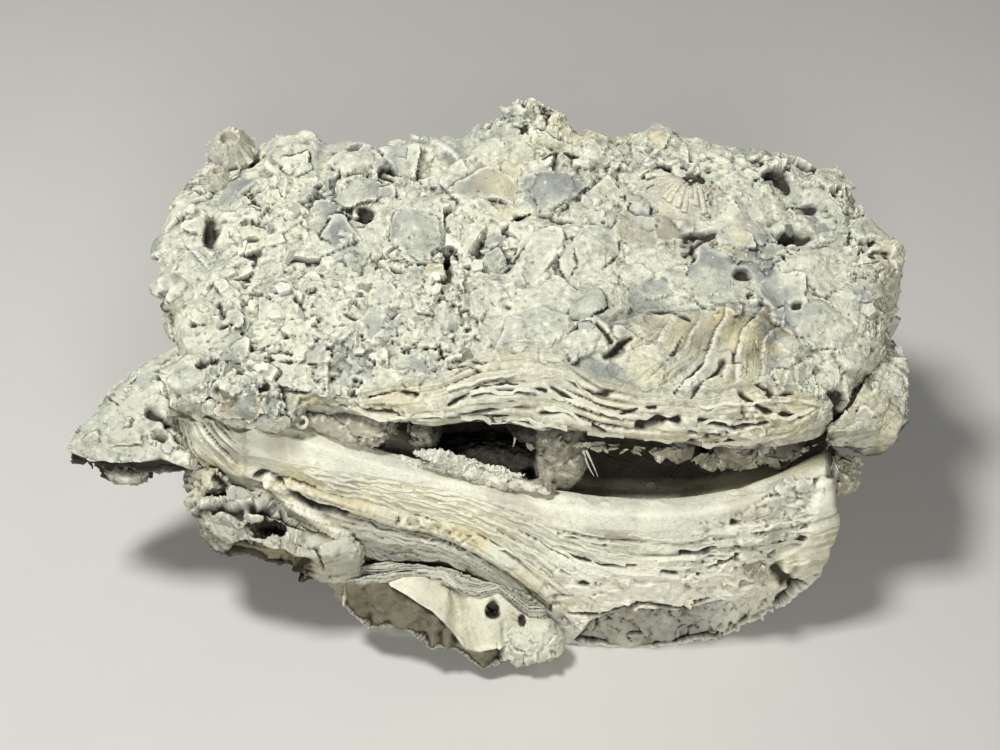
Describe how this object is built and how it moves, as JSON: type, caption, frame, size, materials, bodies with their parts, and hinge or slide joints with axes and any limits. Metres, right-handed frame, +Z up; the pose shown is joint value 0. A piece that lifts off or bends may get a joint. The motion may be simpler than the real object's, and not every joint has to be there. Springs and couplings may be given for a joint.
{
  "type": "fossil oyster cluster",
  "caption": "Thick fossil oyster with both valves joined and slightly open, crusted with cemented shells, barnacles and rubble.",
  "frame": {"origin": "centre of the footprint, on the plane of the flat worn underside", "axes": "+X along the length, to the right when looking into the gape; +Y from the gape to the back; +Z up"},
  "size_m": [0.2006, 0.1108, 0.094],
  "materials": {
    "shell_crust": "rough chalky crust",
    "laminated_shell": "matt laminated shell",
    "hardened_marl": "rough granular marl",
    "small_shell": "matt ribbed shell"
  },
  "bodies": {
    "root": {"upper_valve": "shell_crust", "lower_valve": "laminated_shell", "gape_sediment": "hardened_marl", "left_shell": "shell_crust", "left_under_shell": "laminated_shell", "frilled_shell": "laminated_shell", "right_shell": "shell_crust", "scallop_shell": "small_shell", "barnacle_large": "small_shell", "barnacle_small": "small_shell"}
  },
  "joints": []
}
